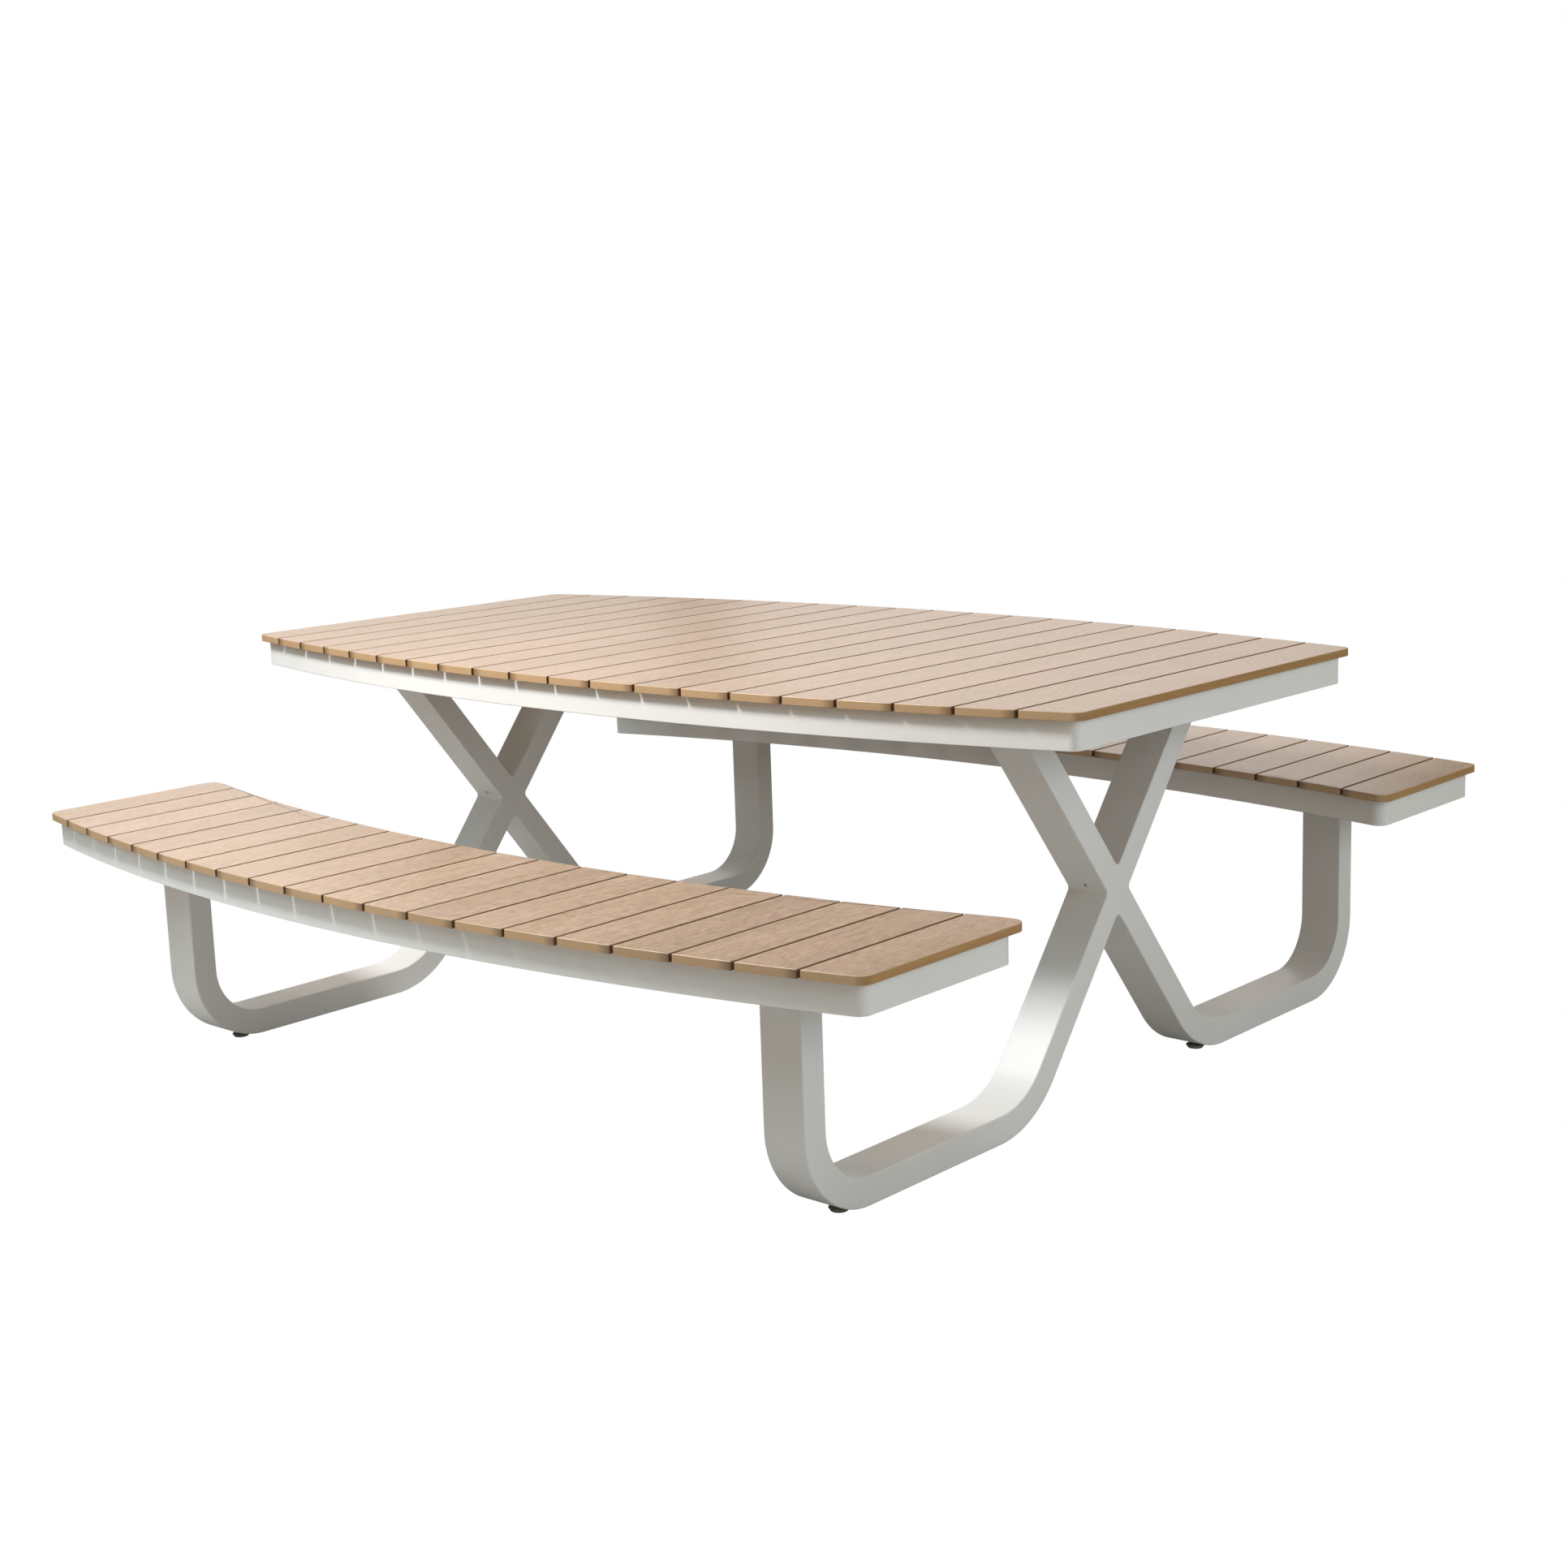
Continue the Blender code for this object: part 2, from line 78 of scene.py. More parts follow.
TUBE_DEPTH = 0.050
HALF_DEPTH = TUBE_DEPTH / 2
TUBE_RIM_RADIUS = 0.003
TUBE_CENTRE_Z = 0.033
CROSSING = Vector((0, 0.375))
ARM_ANGLE = math.radians(51.6)
LEG_Y = 0.820
INNER_BEND_RADIUS = 0.170
OUTER_BEND_RADIUS = 0.125
NOTCH_RADIUS = 0.010
FOOT_CORNER_Y = (CROSSING.y - TUBE_CENTRE_Z) / math.tan(ARM_ANGLE)
UP_FRONT = Vector((-math.cos(ARM_ANGLE), math.sin(ARM_ANGLE)))
DOWN_FRONT = Vector((-math.cos(ARM_ANGLE), -math.sin(ARM_ANGLE)))
PLATE_THICKNESS = 0.008
PLATE_OVERHANG = 0.020
VENT_RADIUS = 0.0032
VENT_FROM_CROSSING = 0.0335
VENT_REACH = 0.020
CAVITY_RADIUS = 0.012
CAVITY_FROM_FACE = 0.003
CAVITY_TO = 0.018
FEET = [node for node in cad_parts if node.endswith("_foot")]
STEM_RADIUS = 0.005
BORE_RADIUS = 0.0055
BORE_TOP_Z = 0.046

TABLE_BODY = "table"
FIT_GAP = 0.0003
BAR_CORNER_RADIUS = 0.0015
BAR_RIM_RADIUS = 0.002


# ---- Outlines ------------------------------------------------------------------------------------


def arc_edge(end_and_middle, inset=0.0):
    """y(x) of a bowed edge; an inset moves it towards the centre of its circle."""
    end, middle = end_and_middle
    rise = middle - end
    radius = (HALF_LENGTH**2 + rise**2) / (2 * rise)
    return lambda x: middle - radius + math.sqrt((radius - inset) ** 2 - x**2)


def flipped(face):
    return lambda x: -face(x)


def spread(low, high, steps):
    return [low + (high - low) * i / steps for i in range(steps + 1)]


def along(edge, low, high, steps):
    return [Vector((x, edge(x))) for x in spread(low, high, steps)]


def fillet(before, corner, after, radius, steps):
    """Points of the arc that rounds a corner, from the side of `before` to the side of `after`."""
    back = (before - corner).normalized()
    onward = (after - corner).normalized()
    half_angle = back.angle(onward) / 2
    centre = corner + (back + onward).normalized() * radius / math.sin(half_angle)
    tangent = radius / math.tan(half_angle)
    start = corner + back * tangent - centre
    sweep = start.angle_signed(corner + onward * tangent - centre)
    points = []
    for share in spread(0, 1, steps):
        turned = start.copy()
        turned.rotate(Matrix.Rotation(-sweep * share, 2))
        points.append(centre + turned)
    return points


def inset(points, distance):
    """The closed, counter-clockwise outline moved inwards, with mitred corners."""
    if distance == 0:
        return [p.copy() for p in points]
    moved = []
    for before, point, after in zip(points[-1:] + points[:-1], points, points[1:] + points[:1]):
        first = (point - before).normalized()
        second = (after - point).normalized()
        first_in = Vector((-first.y, first.x))
        second_in = Vector((-second.y, second.x))
        moved.append(point + (first_in + second_in) * distance / (1 + first_in.dot(second_in)))
    return moved


def rounded_box(low, high, radius, steps=4):
    (left, bottom), (right, top) = low, high
    corners = [Vector(c) for c in ((left, bottom), (right, bottom), (right, top), (left, top))]
    points = []
    for before, corner, after in zip(corners[-1:] + corners[:-1], corners, corners[1:] + corners[:1]):
        points += fillet(before, corner, after, radius, steps)
    return points


def noise_of(index):
    """A fixed number from 0 to 1 for each whole number."""
    return math.modf(abs(math.sin(index * 12.9898 + 4.1414)) * 43758.5453)[0]


# ---- Meshes --------------------------------------------------------------------------------------


def new_object(name, mesh, material, body=TABLE_BODY):
    """Turns a bmesh into a smooth-shaded piece whose big faces stay flat, riding on a CAD body."""
    bmesh.ops.recalc_face_normals(mesh, faces=mesh.faces)
    for face in mesh.faces:
        face.smooth = True
    data = bpy.data.meshes.new(name)
    mesh.to_mesh(data)
    mesh.free()
    data.materials.append(material)
    made = bpy.data.objects.new(name, data)
    bpy.context.scene.collection.objects.link(made)
    weighted = made.modifiers.new("weighted", "WEIGHTED_NORMAL")
    weighted.mode = "FACE_AREA"
    weighted.weight = 50
    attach(made, body)
    return made


def bridge(mesh, rings, closed_ends=True, cyclic=False):
    """Skins a list of equal rings of 3D points, and caps its two ends."""
    made = [[mesh.verts.new(p) for p in ring] for ring in rings]
    pairs = list(zip(made, made[1:]))
    if cyclic:
        pairs.append((made[-1], made[0]))
    for low, high in pairs:
        for i in range(len(low)):
            j = (i + 1) % len(low)
            mesh.faces.new((low[i], low[j], high[j], high[i]))
    if closed_ends and not cyclic:
        mesh.faces.new(made[0][::-1])
        mesh.faces.new(made[-1])
    return made


def rim_levels(low, high, low_radius, high_radius, steps=3):
    """(inset, height) of the rings of a prism whose two rims are rounded."""
    turns = [math.pi / 2 * i / steps for i in range(steps + 1)]
    levels = [(low_radius * (1 - math.sin(a)), low + low_radius * (1 - math.cos(a))) for a in turns]
    levels += [(high_radius * (1 - math.cos(a)), high - high_radius * (1 - math.sin(a))) for a in turns]
    return levels


def prism(mesh, outline, low, high, low_radius, high_radius, place=lambda p, h: (p.x, p.y, h), steps=3):
    """A solid over an outline, with rounded rims. `place` says where an outline point at a height goes."""
    rings = []
    for distance, height in rim_levels(low, high, low_radius, high_radius, steps):
        rings.append([place(p, height) for p in inset(outline, distance)])
    return bridge(mesh, rings)


def lathe(mesh, profile, centre, steps, downward=False, hexagons=()):
    """A turned solid from (radius, height) points. Rings whose index is in `hexagons` are six-sided."""
    sign = -1 if downward else 1
    rings = []
    for index, (radius, height) in enumerate(profile):
        ring = []
        for i in range(steps):
            angle = 2 * math.pi * i / steps
            reach = radius
            if index in hexagons:
                reach *= math.cos(math.pi / 6) / math.cos(angle % (math.pi / 3) - math.pi / 6)
            ring.append(centre + Vector((reach * math.cos(angle), reach * math.sin(angle), sign * height)))
        rings.append(ring)
    return bridge(mesh, rings)


# ---- Materials -----------------------------------------------------------------------------------


class Nodes:
    """Builds one material's node tree with few words."""

    def __init__(self, name):
        self.material = bpy.data.materials.new(name)
        self.material.use_nodes = True
        self.tree = self.material.node_tree
        self.shader = self.tree.nodes["Principled BSDF"]
        self.place = self.add("ShaderNodeTexCoord").outputs["Object"]

    def add(self, kind, inputs=(), **settings):
        node = self.tree.nodes.new(kind)
        for key, value in settings.items():
            setattr(node, key, value)
        for key, value in dict(inputs).items():
            self.feed(node.inputs[key], value)
        return node

    def feed(self, socket, value):
        if isinstance(value, bpy.types.NodeSocket):
            self.tree.links.new(value, socket)
        else:
            socket.default_value = value

    def math(self, operation, *values, clamp=False):
        settings = {"operation": operation, "use_clamp": clamp}
        return self.add("ShaderNodeMath", enumerate(values), **settings).outputs[0]

    def vector(self, operation, *values):
        return self.add("ShaderNodeVectorMath", enumerate(values), operation=operation).outputs[0]

    def noise(self, scale, detail=2.0, place=None, roughness=0.55):
        """A noise whose features are 1/scale metres long on each axis."""
        stretched = self.vector("MULTIPLY", self.place if place is None else place, scale)
        inputs = {"Vector": stretched, "Scale": 1.0, "Detail": detail, "Roughness": roughness}
        return self.add("ShaderNodeTexNoise", inputs, noise_dimensions="3D").outputs["Fac"]

    def ramp(self, value, low, high, to_low=0.0, to_high=1.0):
        inputs = {"Value": value, "From Min": low, "From Max": high, "To Min": to_low, "To Max": to_high}
        return self.add("ShaderNodeMapRange", inputs).outputs["Result"]

    def mix(self, share, first, second, blend="MIX"):
        node = self.add("ShaderNodeMix", data_type="RGBA", blend_type=blend)
        self.feed(node.inputs["Factor"], share)
        for name, value in (("A", first), ("B", second)):
            socket = [s for s in node.inputs if s.name == name and s.type == "RGBA"][0]
            if not isinstance(value, bpy.types.NodeSocket):
                value = (*value, 1)
            self.feed(socket, value)
        return [s for s in node.outputs if s.type == "RGBA"][0]

    def scaled(self, colour, factor):
        return self.add("ShaderNodeVectorMath", {0: colour, "Scale": factor}, operation="SCALE").outputs[0]

    def bump(self, height, distance, strength, below=None):
        inputs = {"Height": height, "Distance": distance, "Strength": strength}
        if below:
            inputs["Normal"] = below
        return self.add("ShaderNodeBump", inputs).outputs["Normal"]

    def finish(self, **sockets):
        for name, value in sockets.items():
            self.feed(self.shader.inputs[name.replace("_", " ")], value)
        return self.material


def board_material():
    """Wood-plastic composite: a brushed top with fine streaks along the board, and smoother sawn sides."""
    n = Nodes("composite_board")
    # gap_shade: painted shade on the board sides that face a gap between boards
    gap_shade = n.add("ShaderNodeAttribute", attribute_name="gap_shade", attribute_type="GEOMETRY").outputs["Fac"]
    tone = n.add("ShaderNodeAttribute", attribute_name="tone", attribute_type="GEOMETRY").outputs["Fac"]
    # rim: painted highlight along the rounded top rim of each board
    rim = n.add("ShaderNodeAttribute", attribute_name="rim", attribute_type="GEOMETRY").outputs["Fac"]
    own = n.add("ShaderNodeCombineXYZ", {"Y": tone, "Z": tone}).outputs[0]
    shift = n.vector("MULTIPLY", own, (0, 37, 11))
    place = n.vector("ADD", n.place, shift)
    streaks = n.noise((620, 42, 620), 3.0, place, 0.6)
    fibres = n.noise((1600, 110, 1600), 1.0, place)
    bands = n.noise((95, 3.5, 95), 2.0, place)
    patches = n.noise((11, 4.5, 11), 2.0, place)
    dashes = n.noise((460, 58, 460), 1.0, n.vector("ADD", place, (3.7, 1.3, 0)))

    grain = n.math("MULTIPLY_ADD", streaks, 0.60, n.math("MULTIPLY", fibres, 0.28))
    grain = n.math("MULTIPLY_ADD", bands, 0.20, grain)
    grain = n.ramp(grain, 0.45, 0.63)
    top = n.mix(grain, (0.275, 0.188, 0.122), (0.455, 0.332, 0.235))
    pink = n.mix(grain, (0.298, 0.200, 0.142), (0.485, 0.346, 0.260))
    top = n.mix(n.ramp(patches, 0.40, 0.62), top, pink)
    top = n.mix(n.ramp(dashes, 0.58, 0.70, 0.0, 0.50), top, (0.480, 0.375, 0.290))
    top = n.mix(n.ramp(dashes, 0.43, 0.32, 0.0, 0.45), top, (0.160, 0.102, 0.066))

    speckle = n.noise((700, 700, 700), 2.0, place)
    sawn = n.mix(n.ramp(speckle, 0.3, 0.7), (0.410, 0.265, 0.140), (0.520, 0.342, 0.188))
    skin = n.mix(n.ramp(bands, 0.35, 0.65), (0.345, 0.185, 0.052), (0.420, 0.230, 0.070))

    facing = n.add("ShaderNodeTexCoord").outputs["Normal"]
    normal = n.add("ShaderNodeSeparateXYZ", {"Vector": facing}).outputs
    end_share = n.ramp(n.math("ABSOLUTE", normal["Y"]), 0.45, 0.90)
    top_share = n.ramp(normal["Z"], 0.35, 0.80)
    colour = n.mix(end_share, skin, sawn)
    colour = n.mix(top_share, colour, top)
    # Painted highlight: the rounded top rim is lightened, except along the gaps
    colour = n.mix(n.math("MULTIPLY", rim, 0.45), colour, (0.600, 0.450, 0.310))
    # Painted shade: the sides facing a gap, and the rim above them, are darkened towards deep brown
    colour = n.mix(n.math("MULTIPLY", gap_shade, 0.75), colour, (0.085, 0.045, 0.020))
    colour = n.scaled(colour, n.ramp(tone, 0.0, 1.0, 0.955, 1.045))

    rough = n.ramp(grain, 0.0, 1.0, 0.34, 0.44)
    height = n.math("MULTIPLY_ADD", fibres, 0.4, n.math("MULTIPLY", streaks, 0.6))
    brushed = n.math("MULTIPLY", top_share, 0.45)
    normal_out = n.bump(height, 0.0003, brushed, n.bump(speckle, 0.0001, 0.25))
    return n.finish(Base_Color=colour, Roughness=rough, Normal=normal_out, IOR=1.65)


def coat_material(name, colour, seed):
    """Powder coat on metal: a fine orange peel, faint clouds of tone and small dark specks."""
    n = Nodes(name)
    place = n.vector("ADD", n.place, (seed, seed * 0.37, seed * 0.71))
    clouds = n.noise((3.1, 3.1, 3.1), 3.0, place)
    peel = n.noise((520, 520, 520), 2.0, place)
    specks = n.noise((1400, 1400, 1400), 1.0, place)
    darker = tuple(c * 0.955 for c in colour)
    tint = n.mix(n.ramp(clouds, 0.35, 0.65), darker, colour)
    tint = n.mix(n.ramp(specks, 0.30, 0.22, 0.0, 0.20), tint, tuple(c * 0.72 for c in colour))
    rough = n.math("MULTIPLY_ADD", peel, 0.10, n.ramp(clouds, 0.3, 0.7, 0.36, 0.44))
    normal = n.bump(peel, 0.00006, 0.5)
    return n.finish(Base_Color=tint, Roughness=rough, Normal=normal, IOR=1.5)


def plastic_material():
    """Moulded grey plastic with a fine spark texture."""
    n = Nodes("moulded_plastic")
    spark = n.noise((1900, 1900, 1900), 2.0)
    clouds = n.noise((60, 60, 60), 2.0)
    tint = n.mix(n.ramp(clouds, 0.3, 0.7), (0.300, 0.300, 0.298), (0.380, 0.380, 0.376))
    tint = n.mix(n.ramp(spark, 0.3, 0.7, 0.0, 0.35), tint, (0.44, 0.44, 0.435))
    rough = n.ramp(spark, 0.3, 0.7, 0.42, 0.62)
    return n.finish(Base_Color=tint, Roughness=rough, Normal=n.bump(spark, 0.00005, 0.6), IOR=1.5)


def steel_material():
    """Stainless fasteners with a turned, slightly cloudy finish."""
    n = Nodes("stainless_steel")
    clouds = n.noise((240, 240, 240), 2.0)
    turned = n.noise((900, 900, 4200), 1.0)
    tint = n.mix(n.ramp(clouds, 0.3, 0.7), (0.54, 0.53, 0.51), (0.66, 0.65, 0.63))
    rough = n.ramp(turned, 0.3, 0.7, 0.24, 0.40)
    return n.finish(Base_Color=tint, Roughness=rough, Normal=n.bump(turned, 0.00003, 0.4), Metallic=1.0)


BOARD = board_material()
COAT = coat_material("apron_powder_coat", (0.810, 0.812, 0.795), 0.0)
FRAME_COAT = coat_material("frame_powder_coat", (0.800, 0.802, 0.785), 5.3)
PLASTIC = plastic_material()
STEEL = steel_material()


# ---- Decks ---------------------------------------------------------------------------------------

EDGE_STEPS = 8


def board_outline(left, right, low_edge, high_edge, first, last):
    """One board seen from above, counter-clockwise, with its four corners rounded."""
    corners = [
        Vector((left, low_edge(left))),
        Vector((right, low_edge(right))),
        Vector((right, high_edge(right))),
        Vector((left, high_edge(left))),
    ]
    radii = [DECK_CORNER_RADIUS if big else SLAT_CORNER_RADIUS for big in (first, last, last, first)]
    margin = DECK_CORNER_RADIUS * 1.05
    low = along(low_edge, left + margin, right - margin, EDGE_STEPS)
    high = along(high_edge, right - margin, left + margin, EDGE_STEPS)
    nearby = [(corners[3], low[0]), (low[-1], corners[2]), (corners[1], high[0]), (high[-1], corners[0])]
    rounded = []
    for corner, radius, (before, after) in zip(corners, radii, nearby):
        rounded.append(fillet(before, corner, after, radius, 8 if radius > SLAT_CORNER_RADIUS else 3))
    return rounded[0] + low + rounded[1] + rounded[2] + high + rounded[3]


def add_board(name, index, low_edge, high_edge, top_z, seed):
    play = SLAT_PLAY * (2 * noise_of(seed) - 1) if 0 < index < SLAT_COUNT - 1 else 0.0
    left = -HALF_LENGTH + index * PITCH + play
    first, last = index == 0, index == SLAT_COUNT - 1
    outline = board_outline(left, left + SLAT_WIDTH, low_edge, high_edge, first, last)
    mesh = bmesh.new()
    rim = mesh.verts.layers.float.new("rim")
    tone = mesh.verts.layers.float.new("tone")
    gap_shade = mesh.verts.layers.float.new("gap_shade")
    rings = prism(mesh, outline, top_z - SLAT_THICKNESS, top_z, SLAT_LOW_RIM_RADIUS, SLAT_RIM_RADIUS)
    for vert in mesh.verts:
        vert[tone] = noise_of(seed + 0.5)
    for level, ring in enumerate(rings[:-1]):
        # on_rim marks the top rim's rings: they carry the painted highlight, or beside a gap a lighter
        # share of the painted gap shade
        on_rim = level >= len(rings) - 3
        for vert in ring:
            # Vertices on the sides that face a neighbouring board carry the painted gap shade; those on the
            # top rim there carry a little less
            in_left_gap = vert.co.x < left + SLAT_CORNER_RADIUS and not first
            in_right_gap = vert.co.x > left + SLAT_WIDTH - SLAT_CORNER_RADIUS and not last
            if in_left_gap or in_right_gap:
                vert[gap_shade] = 0.55 if on_rim else 1.0
            elif on_rim:
                vert[rim] = 1.0
    return new_object(name, mesh, BOARD)


def add_decks():
    table_edge = arc_edge(TABLE_EDGE)
    inner, outer = arc_edge(BENCH_INNER_EDGE), arc_edge(BENCH_OUTER_EDGE)
    for index in range(SLAT_COUNT):
        number = f"{index + 1:02d}"
        name = f"table_board_{number}"
        board = add_board(name, index, flipped(table_edge), table_edge, TABLE_TOP_Z, index)
        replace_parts(board, f"table_slat_{number}")
        for seed, bench, low_edge, high_edge in (
            (100, "front", flipped(outer), flipped(inner)),
            (200, "back", inner, outer),
        ):
            name = f"{bench}_bench_board_{number}"
            board = add_board(name, index, low_edge, high_edge, SEAT_TOP_Z, seed + index)
            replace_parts(board, f"{bench}_bench_deck")


# ---- Aprons, rails and crossbars -----------------------------------------------------------------


def deck_loop(low_edge, high_edge, end_x, radius):
    """The closed outline of a rim that follows two bowed edges and two straight ends."""
    start = end_x - CORNER_REACH
    low = along(low_edge, -start, start, 64)
    high = along(high_edge, start, -start, 64)
    corners = [
        Vector((end_x, low_edge(end_x))),
        Vector((end_x, high_edge(end_x))),
        Vector((-end_x, high_edge(end_x))),
        Vector((-end_x, low_edge(end_x))),
    ]
    points = low + fillet(low[-1], corners[0], corners[1], radius, 8)
    points += fillet(corners[0], corners[1], high[0], radius, 8)
    points += high + fillet(high[-1], corners[2], corners[3], radius, 8)
    return points + fillet(corners[2], corners[3], low[0], radius, 8)


def add_apron(name, low_edge, high_edge, nodes):
    """One welded ring of flat tube under the rim of a deck. Each edge is a function of the inset."""
    low_z = min(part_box(node)[0].z for node in nodes)
    high_z = max(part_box(node)[1].z for node in nodes)
    mesh = bmesh.new()
    rings = []
    for point in rounded_box((0, low_z), (APRON_THICKNESS, high_z), APRON_RIM_RADIUS, 3):
        depth = point.x
        radius = max(APRON_CORNER_RADIUS - depth, 0.002)
        loop = deck_loop(low_edge(depth), high_edge(depth), END_BOARD_X - depth, radius)
        rings.append([(p.x, p.y, point.y) for p in loop])
    bridge(mesh, rings, cyclic=True)
    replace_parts(new_object(name, mesh, COAT), *nodes)


def add_bar(name, low, high, node):
    """A bar with rounded edges between two corners, which stands for a CAD node."""
    mesh = bmesh.new()
    outline = rounded_box((low.x, low.y), (high.x, high.y), BAR_CORNER_RADIUS, 3)
    prism(mesh, outline, low.z, high.z, BAR_RIM_RADIUS, BAR_RIM_RADIUS)
    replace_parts(new_object(name, mesh, COAT), node)


def add_carcasses():
    ends = ("left_end", "right_end")
    add_apron(
        "table_apron_ring",
        lambda depth: flipped(arc_edge(TABLE_EDGE, APRON_INSET + depth)),
        lambda depth: arc_edge(TABLE_EDGE, APRON_INSET + depth),
        [f"table_apron_{side}" for side in ("front", "back", *ends)],
    )
    outer = lambda depth: arc_edge(BENCH_OUTER_EDGE, APRON_INSET + depth)
    inner = lambda depth: arc_edge(BENCH_INNER_EDGE, -APRON_INSET - depth)
    for bench in ("front", "back"):
        nodes = [f"{bench}_bench_apron_{side}" for side in ("outer", "inner", *ends)]
        if bench == "front":
            edges = (lambda depth: flipped(outer(depth)), lambda depth: flipped(inner(depth)))
        else:
            edges = (inner, outer)
        add_apron(f"{bench}_bench_apron_ring", *edges, nodes)
    for side in ("front", "back"):
        low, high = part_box(f"table_rail_{side}")
        add_bar(f"table_rail_bar_{side}", low, high, f"table_rail_{side}")
        add_screws(f"table_screws_{side}", (low.y + high.y) / 2, low.z)


RAIL_HEIGHT = 0.0174
BENCH_RAIL_WIDTH = 0.030
BENCH_RAIL_Y = {"inner": 0.765, "outer": 0.885}


def add_bench_rails():
    """The two rails under each bench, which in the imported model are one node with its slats."""
    high_z = SEAT_TOP_Z - SLAT_THICKNESS - FIT_GAP
    low_z = high_z - RAIL_HEIGHT
    reach = END_BOARD_X - APRON_THICKNESS - FIT_GAP
    for bench, side in (("front", -1), ("back", 1)):
        for place, distance in BENCH_RAIL_Y.items():
            y = side * distance
            low = Vector((-reach, y - BENCH_RAIL_WIDTH / 2, low_z))
            high = Vector((reach, y + BENCH_RAIL_WIDTH / 2, high_z))
            add_bar(f"{bench}_bench_rail_{place}", low, high, f"{bench}_bench_deck")
            add_screws(f"{bench}_bench_screws_{place}", y, low_z)


# (radius, height) of a pan head with a hexagon socket, from the rail outwards.
SCREW_HEAD = [
    (0.0040, -0.0005),
    (0.0040, 0.0006),
    (0.0036, 0.0014),
    (0.0026, 0.0021),
    (0.0014, 0.0023),
    (0.0012, 0.0010),
]
SCREW_SPREAD = 0.03


def add_screws(name, y, z):
    """Pan-head screws up through a rail, two to each board."""
    mesh = bmesh.new()
    for index in range(SLAT_COUNT):
        for across in (-SCREW_SPREAD, SCREW_SPREAD):
            x = -HALF_LENGTH + index * PITCH + SLAT_WIDTH / 2 + across
            lathe(mesh, SCREW_HEAD, Vector((x, y, z)), 12, downward=True, hexagons=(4, 5))
    new_object(name, mesh, STEEL)


def add_crossbars():
    for deck in ("table", "front_bench", "back_bench"):
        for word in ("left", "right"):
            node = f"{deck}_crossbar_{word}"
            low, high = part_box(node)
            edges = crossbar_edges(deck)
            points = [
                Vector((low.x, edges[0](low.x) + FIT_GAP)),
                Vector((high.x, edges[0](high.x) + FIT_GAP)),
                Vector((high.x, edges[1](high.x) - FIT_GAP)),
                Vector((low.x, edges[1](low.x) - FIT_GAP)),
            ]
            mesh = bmesh.new()
            prism(mesh, points, low.z, high.z, BAR_RIM_RADIUS, BAR_RIM_RADIUS)
            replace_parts(new_object(f"{deck}_crossbar_bar_{word}", mesh, COAT), node)


def crossbar_edges(deck):
    """The inner faces of the aprons that a deck's crossbars reach."""
    depth = APRON_INSET + APRON_THICKNESS
    if deck == "table":
        return flipped(arc_edge(TABLE_EDGE, depth)), arc_edge(TABLE_EDGE, depth)
    inner, outer = arc_edge(BENCH_INNER_EDGE, -depth), arc_edge(BENCH_OUTER_EDGE, depth)
    return (flipped(outer), flipped(inner)) if deck == "front_bench" else (inner, outer)


# ---- Leg frames ----------------------------------------------------------------------------------

BEND_STEPS = 28
NOTCH_STEPS = 8


def bent_outline(route, radii):
    """The two sides of a tube that follows `route`, with an arc at each inner point of it."""
    centre = [(route[0], (route[1] - route[0]).normalized())]
    for before, corner, after, radius in zip(route, route[1:], route[2:], radii):
        arc = fillet(before, corner, after, radius, BEND_STEPS)
        ways = [(corner - before).normalized()]
        ways += [(b - a).normalized() for a, b in zip(arc, arc[2:])]
        ways += [(after - corner).normalized()]
        centre += list(zip(arc, ways))
    centre.append((route[-1], (route[-1] - route[-2]).normalized()))
    left = [p + Vector((-way.y, way.x)) * HALF_DEPTH for p, way in centre]
    right = [p - Vector((-way.y, way.x)) * HALF_DEPTH for p, way in centre]
    return left, right


def frame_outline(table_z, bench_z):
    """The side view of a leg frame in (y, z), counter-clockwise: an X whose lower arms bend into loops."""
    up, side = HALF_DEPTH / math.cos(ARM_ANGLE), HALF_DEPTH / math.sin(ARM_ANGLE)
    below, above = CROSSING - Vector((0, up)), CROSSING + Vector((0, up))
    beside = CROSSING - Vector((side, 0))
    down_back = Vector((-DOWN_FRONT.x, DOWN_FRONT.y))
    up_back = Vector((-UP_FRONT.x, UP_FRONT.y))
    lower = fillet(below + down_back, below, below + DOWN_FRONT, NOTCH_RADIUS, NOTCH_STEPS)
    upper = fillet(above + UP_FRONT, above, above + up_back, NOTCH_RADIUS, NOTCH_STEPS)
    notch = fillet(beside + DOWN_FRONT, beside, beside + UP_FRONT, NOTCH_RADIUS, NOTCH_STEPS)
    route = [
        CROSSING + DOWN_FRONT * 0.08,
        Vector((-FOOT_CORNER_Y, TUBE_CENTRE_Z)),
        Vector((-LEG_Y, TUBE_CENTRE_Z)),
        Vector((-LEG_Y, bench_z)),
    ]
    outside, inside = bent_outline(route, (INNER_BEND_RADIUS, OUTER_BEND_RADIUS))
    top_y = (table_z - CROSSING.y) / math.tan(ARM_ANGLE)
    ends = [Vector((-top_y - side, table_z)), Vector((-top_y + side, table_z))]
    half = lower[NOTCH_STEPS // 2 :] + outside + inside[::-1] + notch + ends + upper[: NOTCH_STEPS // 2 + 1]
    points = half + [Vector((-p.x, p.y)) for p in half[-2:0:-1]]
    return points[::-1]


def cut(obj, cutters):
    """Takes the cutters out of the object and applies the result."""
    for cutter in cutters:
        modifier = obj.modifiers.new("cut", "BOOLEAN")
        modifier.operation = "DIFFERENCE"
        modifier.solver = "EXACT"
        modifier.object = cutter
    weighted = obj.modifiers["weighted"]
    obj.modifiers.move(obj.modifiers.find(weighted.name), len(obj.modifiers) - 1)
    bpy.context.view_layer.update()
    graph = bpy.context.evaluated_depsgraph_get()
    made = bpy.data.meshes.new_from_object(obj.evaluated_get(graph), depsgraph=graph)
    obj.modifiers.clear()
    obj.data = made
    for cutter in cutters:
        bpy.data.objects.remove(cutter)


